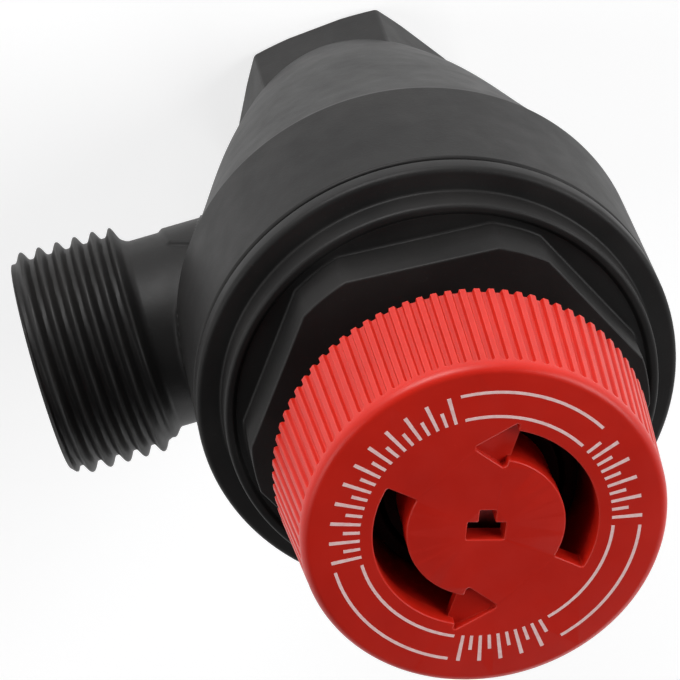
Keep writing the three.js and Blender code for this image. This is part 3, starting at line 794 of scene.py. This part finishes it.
def make_bonnet():
    """Collar, step, spanner flats, cam ramps and tower outside, and the spring's cavity inside."""
    skin = Skin()
    sides = 360
    outline = clipped_hexagon()
    shoulder = STEP_TOP - 0.25
    shoulder_radius = STEP_RADIUS - 0.85
    skin.turned(filleted([
        (CAVITY_RADIUS, BONNET_BOTTOM + 0.1),
        (CAVITY_RADIUS + 0.1, BONNET_BOTTOM),
        (BONNET_THREAD_RADIUS, BONNET_BOTTOM, 0.25),
        (BONNET_THREAD_RADIUS, COLLAR_BOTTOM),
        (BOWL_RADIUS, COLLAR_BOTTOM, 0.16),
        (BOWL_RADIUS, COLLAR_TOP, 0.4),
        (STEP_RADIUS, COLLAR_TOP, 0.2),
        (STEP_RADIUS, STEP_TOP, 0.32),
        (STEP_RADIUS - 0.55, STEP_TOP, 0.24),
        (STEP_RADIUS - 0.8, shoulder, 0.16),
        (shoulder_radius, shoulder),
    ], closed=False), sides)
    root, crown = 0.2, 0.13
    foot = [lifted(offset(outline, -root * (1 - math.sin(bend))), shoulder + root * (1 - math.cos(bend)))
            for bend in quarter(4)]
    head = [lifted(offset(outline, crown * (1 - math.cos(bend))), FLATS_TOP - crown * (1 - math.sin(bend)))
            for bend in quarter(4)]
    skin.flat(circle(shoulder_radius, sides), [flattened(foot[0])], shoulder)
    skin.bridge([*foot, *head])
    skin.flat(flattened(head[-1]), [circle(CAM_RADIUS + 0.15, sides)], FLATS_TOP)

    def cam_ring(radius, drop):
        angles = [TURN * k / sides for k in range(sides)]
        return [(*polar(radius, angle), cam_height(angle) - drop) for angle in angles]

    skin.bridge([
        lifted(circle(CAM_RADIUS + 0.15, sides), FLATS_TOP),
        lifted(circle(CAM_RADIUS, sides), FLATS_TOP + 0.15),
        cam_ring(CAM_RADIUS, 0.15),
        cam_ring(CAM_RADIUS - 0.05, 0.05),
        cam_ring(CAM_RADIUS - 0.15, 0),
        cam_ring(TOWER_RADIUS + 0.12, 0),
        cam_ring(TOWER_RADIUS, -0.12),
        lifted(circle(TOWER_RADIUS, sides), TOWER_TOP - 0.25),
    ])
    skin.turned(filleted([
        (TOWER_RADIUS, TOWER_TOP - 0.25),
        (TOWER_RADIUS, TOWER_TOP, 0.2),
        (TOWER_BORE, TOWER_TOP, 0.2),
        (TOWER_BORE, FLATS_TOP - 0.55, 0.4),
        (9.55, STEP_TOP - 0.5, 0.4),
        (CAVITY_RADIUS, COLLAR_BOTTOM + 0.1, 0.4),
        (CAVITY_RADIUS, BONNET_BOTTOM + 0.1),
    ], closed=False), sides)
    return skin.object("bonnet_shell")


# ------------------------------------------------------------------ body and inlet


def thread_wave(phase):
    """Rounded thread form for a phase in turns: 1 on the crest, -1 in the root."""
    from_crest = abs(phase - round(phase))
    return 1 - 2 * smooth_step(0.02, 0.42, from_crest)


def threaded_rod(skin, thread, length, plain_radius, around=144, per_pitch=16):
    """A threaded rod along +Z from the origin, with a run-out at its start and a chamfer at its end."""
    middle = (thread["major"] + thread["minor"]) / 2
    amplitude = (thread["major"] - thread["minor"]) / 2
    rows = round(length / thread["pitch"] * per_pitch)
    rings = []
    for row in range(rows + 1):
        height = length * row / rows
        fade = smooth_step(0, thread["pitch"], height)
        chamfer = max(thread["minor"] + (length - height), thread["minor"])
        ring = []
        for k in range(around):
            angle = TURN * k / around
            wave = middle + amplitude * thread_wave(height / thread["pitch"] - angle / TURN)
            radius = min(plain_radius + (wave - plain_radius) * fade, chamfer)
            ring.append((*polar(radius, angle), height))
        rings.append(ring)
    skin.bridge(rings)
    skin.flat(flattened(rings[0]), height=0)
    skin.flat(flattened(rings[-1]), height=length)


def along_outlet(x):
    """Where a shape drawn along +Z goes when it lies along the outlet, starting at x."""
    return Matrix.Translation((x, 0, OUTLET_HEIGHT)) @ Matrix.Rotation(math.pi / 2, 4, "Y")


def outer_wall(height):
    """Radius of the body's outside above the hexagon, with the bowl's lower edge softened."""
    funnel = funnel_radius(height)
    return funnel + (BOWL_RADIUS - funnel) * smooth_step(BOWL_BOTTOM - 0.4, BOWL_BOTTOM + 0.2, height)


def neck_ring(x, sides):
    """One ring of the outlet neck, with its fillet at the funnel and the proud step below."""
    ring = []
    for k in range(sides):
        angle = TURN * k / sides
        y, height = polar(NECK_RADIUS, angle)
        wall = math.sqrt(max(outer_wall(OUTLET_HEIGHT + height) ** 2 - y ** 2, 0))
        inside = min(max(1 - (x - wall) / NECK_FILLET, 0.0), 1.0)
        flare = NECK_FILLET * (1 - math.sqrt(1 - inside ** 2))
        below_edge = RIB_EDGE + RIB_SLOPE * (RIB_END - x) - height
        rib = RIB_HEIGHT * smooth_step(0, 0.35, below_edge) * smooth_step(0, 0.4, RIB_END - x - 0.12 * height)
        across, up = polar(NECK_RADIUS + max(flare, rib), angle)
        ring.append((x, across, OUTLET_HEIGHT + up))
    return ring


def neck(sides=480, start=5.0, step=0.12):
    """The plain stretch of the outlet branch."""
    skin = Skin()
    count = round((THREAD_START + 0.4 - start) / step)
    rings = [neck_ring(start + k * step, sides) for k in range(count + 1)]
    skin.bridge(rings)
    for ring in (rings[0], rings[-1]):
        rim = skin.add_ring(ring)
        skin.mesh.faces.new(rim)
    return skin.object("neck")


def solid_of_revolution(name, profile, sides=200, matrix=None):
    skin = Skin()
    skin.turned(profile, sides)
    if matrix is not None:
        skin.place(matrix)
    return skin.object(name)


def hexagon(name, across_flats, bottom, top, turn, corner):
    """A hexagonal bar with rounded upright edges."""
    reach = across_flats / math.sqrt(3)
    outline = turned_by(filleted([(*polar(reach, k * math.pi / 3), corner) for k in range(6)]), turn)
    skin = Skin()
    skin.bridge([lifted(outline, bottom), lifted(outline, top)])
    skin.flat(outline, height=bottom)
    skin.flat(outline, height=top)
    return skin.object(name)


def make_body():
    """The moulded body: its outside shapes joined, then the chamber, the bores and the outlet cut out."""
    steps = 36
    low, high = FUNNEL[0][1], FUNNEL[-1][1]
    heights = [low + (high - low) * k / steps for k in range(steps + 1)]
    funnel = [(funnel_radius(height), height) for height in heights]
    wall = [(BOWL_RADIUS, BOWL_BOTTOM, 0.24), (BOWL_RADIUS, BODY_TOP, 0.24)]
    rim = filleted([funnel[-1], *wall, (0, BODY_TOP)], closed=False)
    body = solid_of_revolution("body_shell", [(0, low), *funnel, *rim[1:]], 288)

    hexagon_end = hexagon("hexagon", HEX_ACROSS_FLATS, 0, HEX_TOP, HEX_TURN, 0.4)
    face = HEX_ACROSS_FLATS / 2 + 0.25
    chamfer = [(0, 0), (face, 0), (face + 1.6, 0.95), (face + 1.6, HEX_TOP), (0, HEX_TOP)]
    combine(hexagon_end, solid_of_revolution("chamfer", chamfer), "INTERSECT")
    combine(body, hexagon_end, "UNION")
    combine(body, neck(), "UNION")
    thread = Skin()
    threaded_rod(thread, OUTLET_THREAD, OUTLET_END - THREAD_START, NECK_RADIUS)
    combine(body, thread.place(along_outlet(THREAD_START)).object("thread"), "UNION")

    chamber = solid_of_revolution("chamber", filleted([
        (0, CHAMBER_FLOOR),
        (8.9, CHAMBER_FLOOR, 1.2),
        (CHAMBER_RADIUS, OUTLET_HEIGHT, 3.2),
        (CHAMBER_RADIUS, LEDGE_HEIGHT, 0.24),
        (BONNET_THREAD_RADIUS + GAP, LEDGE_HEIGHT, 0.24),
        (BONNET_THREAD_RADIUS + GAP, BODY_TOP - 0.3),
        (BONNET_THREAD_RADIUS + 1.0, BODY_TOP + 0.4),
        (0, BODY_TOP + 0.4),
    ], closed=False))
    combine(body, chamber, "DIFFERENCE")
    bores = [
        (INSERT_RADIUS + GAP, -1, WEB_BOTTOM),
        (NOZZLE_RADIUS + GAP, WEB_BOTTOM - 1, CHAMBER_FLOOR + 1),
        (NOZZLE_RADIUS + 0.8, *GROOVE_HEIGHTS),
    ]
    for radius, bottom, top in bores:
        bore = [(0, bottom), (radius, bottom), (radius, top), (0, top)]
        combine(body, solid_of_revolution("bore", bore, 144), "DIFFERENCE")
    mouth = OUTLET_END - 0.4
    passage = [(0, 0), (OUTLET_BORE, 0), (OUTLET_BORE, mouth), (OUTLET_BORE + 1, mouth + 1), (0, mouth + 1)]
    combine(body, solid_of_revolution("passage", passage, 144, along_outlet(0)), "DIFFERENCE")
    return body


def make_insert():
    """The brass inlet insert with its tapped socket."""
    top = WEB_BOTTOM - GAP
    blank = filleted([(0, 0), (INSERT_RADIUS, 0, 0.16), (INSERT_RADIUS, top, 0.24), (0, top)], closed=False)
    insert = solid_of_revolution("insert_threaded", blank, 144)
    tap = Skin()
    threaded_rod(tap, INLET_THREAD, TAP_DEPTH + 1, INLET_THREAD["minor"], around=128)
    flipped = Matrix.Translation((0, 0, TAP_DEPTH)) @ Matrix.Rotation(math.pi, 4, "X")
    combine(insert, tap.place(flipped).object("tap"), "DIFFERENCE")
    mouth = [(0, -1), (INLET_THREAD["major"] + 1, -1), (INLET_THREAD["minor"], 1), (0, 1)]
    combine(insert, solid_of_revolution("mouth", mouth, 144), "DIFFERENCE")
    start, end = TAP_DEPTH - 1, top + 1
    passage = [(0, start), (INSERT_PASSAGE, start), (INSERT_PASSAGE, end), (0, end)]
    combine(insert, solid_of_revolution("passage", passage, 144), "DIFFERENCE")
    return insert


# ------------------------------------------------------------------ inner parts


def ring_piece(name, corners, sides=144):
    """A turned piece with a hole through it, from the corners (radius, height, rounding) of its section."""
    section = filleted(corners)
    return solid_of_revolution(name, [*section, section[0]], sides)


def make_nozzle():
    """The brass seat nozzle, with the groove for its ring and a narrow raised seat on top."""
    low, high = GROOVE_HEIGHTS
    return ring_piece("nozzle_turned", [
        (SEAT_BORE, WEB_BOTTOM, 0.15),
        (NOZZLE_RADIUS, WEB_BOTTOM, 0.15),
        (NOZZLE_RADIUS, low, 0.05),
        (GROOVE_RADIUS, low, 0.1),
        (GROOVE_RADIUS, high, 0.1),
        (NOZZLE_RADIUS, high, 0.05),
        (NOZZLE_RADIUS, SEAT_HEIGHT - 1.25, 0.1),
        (SEAT_BORE + 0.7, SEAT_HEIGHT, 0.1),
        (SEAT_BORE + 0.25, SEAT_HEIGHT, 0.1),
        (SEAT_BORE, SEAT_HEIGHT - 0.3, 0.1),
    ])


def make_disc_holder():
    """The brass cup that carries the seat disc, with its column and its flange under the diaphragm."""
    disc_radius, disc_bottom, disc_top = SEAT_DISC
    cup, column, flange, ring_pocket = 7.0, 3.8, 6.7, 3.55
    pocket_roof = disc_top + GAP
    pocket = disc_radius + GAP
    lip = disc_bottom + 0.4
    bore = STEM_RADIUS + GAP
    profile = filleted([
        (0, pocket_roof + 2.4),
        (SCREW_HOLE, pocket_roof + 2.4),
        (SCREW_HOLE, pocket_roof),
        (pocket, pocket_roof, 0.1),
        (pocket, lip, 0.1),
        (cup, lip, 0.2),
        (cup, pocket_roof + 1.75, 0.4),
        (column, pocket_roof + 2.85, 0.6),
        (column, HOLDER_TOP - 1.9, 0.6),
        (flange, HOLDER_TOP - 0.95, 0.15),
        (flange, HOLDER_TOP, 0.15),
        (ring_pocket, HOLDER_TOP, 0.1),
        (ring_pocket, HOLDER_TOP - 1.2),
        (bore, HOLDER_TOP - 1.2),
        (bore, STEM_ENDS[0] - GAP),
        (0, STEM_ENDS[0] - GAP),
    ], closed=False)
    return solid_of_revolution("holder_turned", profile, 144)


def make_seat_disc():
    radius, bottom, top = SEAT_DISC
    return ring_piece("seat_rubber", [
        (SCREW_HOLE, bottom, 0.1),
        (radius, bottom, 0.2),
        (radius, top, 0.2),
        (SCREW_HOLE, top, 0.1),
    ])


def make_stem():
    """The steel rod from the disc holder up to its head inside the knob."""
    bottom, top = STEM_ENDS
    head = top - 1.6
    head_radius = 2.6
    profile = filleted([
        (0, bottom),
        (STEM_RADIUS, bottom, 0.35),
        (STEM_RADIUS, head, 0.1),
        (head_radius, head, 0.15),
        (head_radius, head + 0.8, 0.15),
        (STEM_RADIUS, top, 0.3),
        (0, top),
    ], closed=False)
    return solid_of_revolution("stem_turned", profile, 96)


def make_diaphragm():
    """Flat in the middle and at the rim, with a smooth roll between the two."""
    hub, rim = DIAPHRAGM_HEIGHTS
    start, end = DIAPHRAGM_ROLL
    steps = 20
    radii = [start + (end - start) * k / steps for k in range(steps + 1)]
    roll = [(radius, hub + (rim - hub) * smooth_step(start, end, radius)) for radius in radii]
    lower = [(STEM_RADIUS + GAP, hub), *roll, (DIAPHRAGM_RIM, rim)]
    upper = [(radius, height + DIAPHRAGM_THICKNESS) for radius, height in reversed(lower)]
    return ring_piece("diaphragm_moulded", [*lower, *upper])


def make_spring(steps_per_turn=64, around=20):
    """A coil spring whose end turns lie closed. The open turns share the height between them."""
    wire, turns = SPRING["wire"], SPRING["turns"]
    low, high = SPRING["bottom"] + wire, SPRING["top"] - wire
    closed_pitch = 2 * wire + 0.15
    open_pitch = (high - low - 2 * closed_pitch) / (turns - 2)
    rings = []
    steps = round(turns * steps_per_turn)
    for step in range(steps + 1):
        turn = turns * step / steps
        opened = min(max(turn - 1, 0), turns - 2)
        height = low + (turn - opened) * closed_pitch + opened * open_pitch
        section = circle(wire, around)
        rings.append([(*polar(SPRING["radius"] + out, TURN * turn), height + up) for out, up in section])
    skin = Skin()
    skin.bridge(rings)
    for ring in (rings[0], rings[-1]):
        skin.mesh.faces.new(skin.add_ring(ring))
    return skin.object("spring_coiled")


def shortens(piece):
    """Gives a piece a mesh of its own."""
    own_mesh(piece)


# ------------------------------------------------------------------ stage, lights and camera


def add_floor():
    mesh = bmesh.new()
    bmesh.ops.create_grid(mesh, x_segments=2, y_segments=2, size=4)
    data = bpy.data.meshes.new("floor")
    mesh.to_mesh(data)
    mesh.free()
    floor = bpy.data.objects.new("floor", data)
    floor.location.z = -0.0002
    bpy.context.scene.collection.objects.link(floor)
    nodes = Nodes("floor_paper")
    nodes.link(nodes.ramp(nodes.noise(300), 0.3, 0.7, [(0.50, 0.50, 0.50), (0.52, 0.52, 0.52)]),
               nodes.shader.inputs["Base Color"])
    nodes.shader.inputs["Emission Color"].default_value = (1, 1, 1, 1)
    nodes.set(Roughness=0.9, Emission_Strength=FLOOR_GLOW)
    data.materials.append(nodes.material)


def add_softbox(name, place, size, power):
    """A square lamp that faces the middle of the valve."""
    lamp = bpy.data.lights.new(name, "AREA")
    lamp.size = size
    lamp.energy = power
    holder = bpy.data.objects.new(name, lamp)
    holder.location = place
    facing = Vector((0, 0, 0.03)) - Vector(place)
    holder.rotation_euler = facing.to_track_quat("-Z", "Y").to_euler()
    bpy.context.scene.collection.objects.link(holder)


def add_camera():
    look = (Vector(CAMERA_AIM) - Vector(CAMERA_AT)).normalized()
    right = look.cross(Vector(CAMERA_UP)).normalized()
    up = right.cross(look)
    lens = bpy.data.cameras.new("camera")
    lens.lens = CAMERA_LENS
    lens.clip_start = 0.01
    camera = bpy.data.objects.new("camera", lens)
    axes = Matrix((right, up, -look)).transposed().to_4x4()
    camera.matrix_world = Matrix.Translation(CAMERA_AT) @ axes
    bpy.context.scene.collection.objects.link(camera)
    bpy.context.scene.camera = camera


def add_world():
    """A dark room with a bright band round the horizon, which stands in for a pale backdrop."""
    world = bpy.data.worlds.new("studio")
    world.use_nodes = True
    tree = world.node_tree
    place = tree.nodes.new("ShaderNodeTexCoord")
    split = tree.nodes.new("ShaderNodeSeparateXYZ")
    shade_at = tree.nodes.new("ShaderNodeValToRGB")
    ramp = shade_at.color_ramp
    ramp.elements[0].position, ramp.elements[0].color = math.sin(BACKDROP_TOP[0]), (*BACKDROP_COLOUR, 1)
    ramp.elements[1].position, ramp.elements[1].color = math.sin(BACKDROP_TOP[1]), (*ROOM_COLOUR, 1)
    tree.links.new(place.outputs["Generated"], split.inputs[0])
    tree.links.new(split.outputs["Z"], shade_at.inputs["Fac"])
    tree.links.new(shade_at.outputs["Color"], tree.nodes["Background"].inputs["Color"])
    bpy.context.scene.world = world
    bpy.context.scene.view_settings.view_transform = "Standard"


# ------------------------------------------------------------------ everything in its place

black = black_nylon()
red = red_plastic()
brass = machined("brass", (0.50, 0.34, 0.12), (0.66, 0.48, 0.20))
steel = machined("steel", (0.36, 0.36, 0.36), (0.52, 0.52, 0.52))
seal = rubber()
white = acetal()
slots = {"black_plastic": black, "red_plastic": red, "brass": brass, "steel": steel, "rubber": seal,
         "white_plastic": white}

for entry in frame["record"]["subparts"]:
    node = frame["nodes"][entry["node"]]
    node.data.materials.clear()
    node.data.materials.append(slots[entry["material_slot"]])

dress(make_knob(), red, "hand_knob", "red_plastic", "knob")
dress(make_knob_print(), print_ink(), "hand_knob", "red_plastic")
dress(make_bonnet(), black, "casing", "black_plastic", "bonnet")
dress(make_body(), black, "casing", "black_plastic", "valve_body")
dress(make_insert(), brass, "casing", "brass", "inlet_insert")
dress(make_nozzle(), brass, "casing", "brass", "seat_nozzle")
dress(make_disc_holder(), brass, "spindle", "brass", "disc_holder")
dress(make_seat_disc(), seal, "spindle", "rubber", "seat_disc")
dress(make_stem(), steel, "spindle", "steel", "stem")
diaphragm = dress(make_diaphragm(), seal, "casing", "rubber", "diaphragm")
shortens(diaphragm)
spring = dress(make_spring(), steel, "casing", "steel", "spring")
shortens(spring)

add_floor()
for name, (place, size, power) in SOFTBOXES.items():
    add_softbox(name, place, size, power)
add_world()
add_camera()
